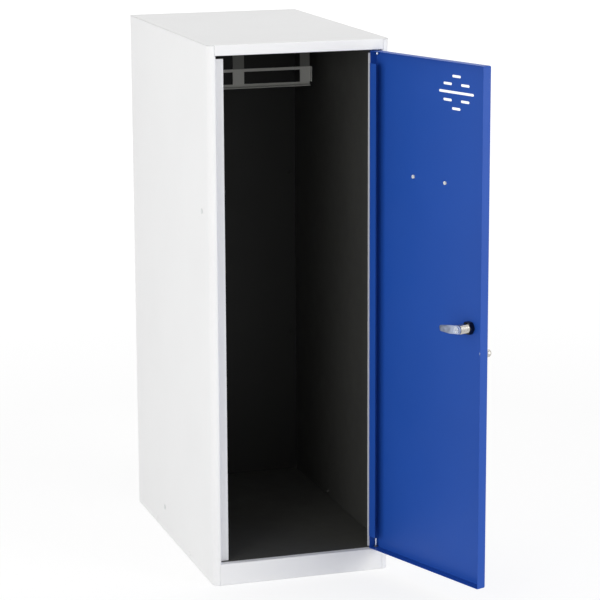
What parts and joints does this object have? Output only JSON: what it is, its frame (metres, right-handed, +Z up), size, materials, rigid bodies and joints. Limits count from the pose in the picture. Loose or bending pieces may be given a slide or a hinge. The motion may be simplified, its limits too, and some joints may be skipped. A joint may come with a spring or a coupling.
{
  "type": "locker cabinet",
  "caption": "Tall narrow sheet steel locker with rounded front corners, an inset swing door with vent slots, cam lock and knob, and a hanging rail inside.",
  "frame": {"origin": "middle of the front foot of the floor tray, on the floor", "axes": "+Z up, -Y out of the front, +X towards the hinge side of the door"},
  "size_m": [0.3872, 0.7507, 0.88],
  "materials": {
    "body_paint": "light grey powder coat, fine orange peel, half gloss",
    "door_paint": "blue powder coat, fine orange peel, half gloss",
    "zinc_steel": "bright zinc plate, slightly blue",
    "nickel": "satin nickel plate",
    "dark_steel": "blackened die-cast nut",
    "dark_plastic": "moulded nylon",
    "white_plastic": "moulded plastic, pale",
    "card": "plain uncoated card",
    "clear_sheet": "clear plastic sheet"
  },
  "bodies": {
    "cabinet": {"side_left": "body_paint", "side_right": "body_paint", "back_panel": "body_paint", "top_panel": "body_paint", "floor_tray": "body_paint", "hanging_rail": "body_paint", "hinge_plate_top": "zinc_steel", "hinge_plate_bottom": "zinc_steel", "pin_top": "zinc_steel", "pin_bottom": "zinc_steel", "back_rivets": "zinc_steel", "base_rivets": "body_paint", "joint_plugs": "white_plastic"},
    "door": {"door_pan": "door_paint", "bush_top": "dark_plastic", "bush_bottom": "dark_plastic", "lock_barrel": "nickel", "lock_nut": "dark_steel", "pull_knob": "nickel", "knob_screw": "zinc_steel", "label_holder": "white_plastic", "label_card": "card", "label_window": "clear_sheet"},
    "latch": {"lock_core": "nickel", "lock_cam": "zinc_steel", "cam_screw": "zinc_steel"}
  },
  "joints": [
    {"name": "door_swing", "type": "hinge", "parent": "cabinet", "child": "door", "pos_m": [0.1302, -0.004, 0.4505], "axis": [0, 0, 1], "range_deg": [-110, 5]},
    {"name": "lock_turn", "type": "hinge", "parent": "door", "child": "latch", "pos_m": [0.20729, -0.21581, 0.4505], "axis": [-0.9397, -0.342, 0], "range_deg": [-7, 173]}
  ]
}
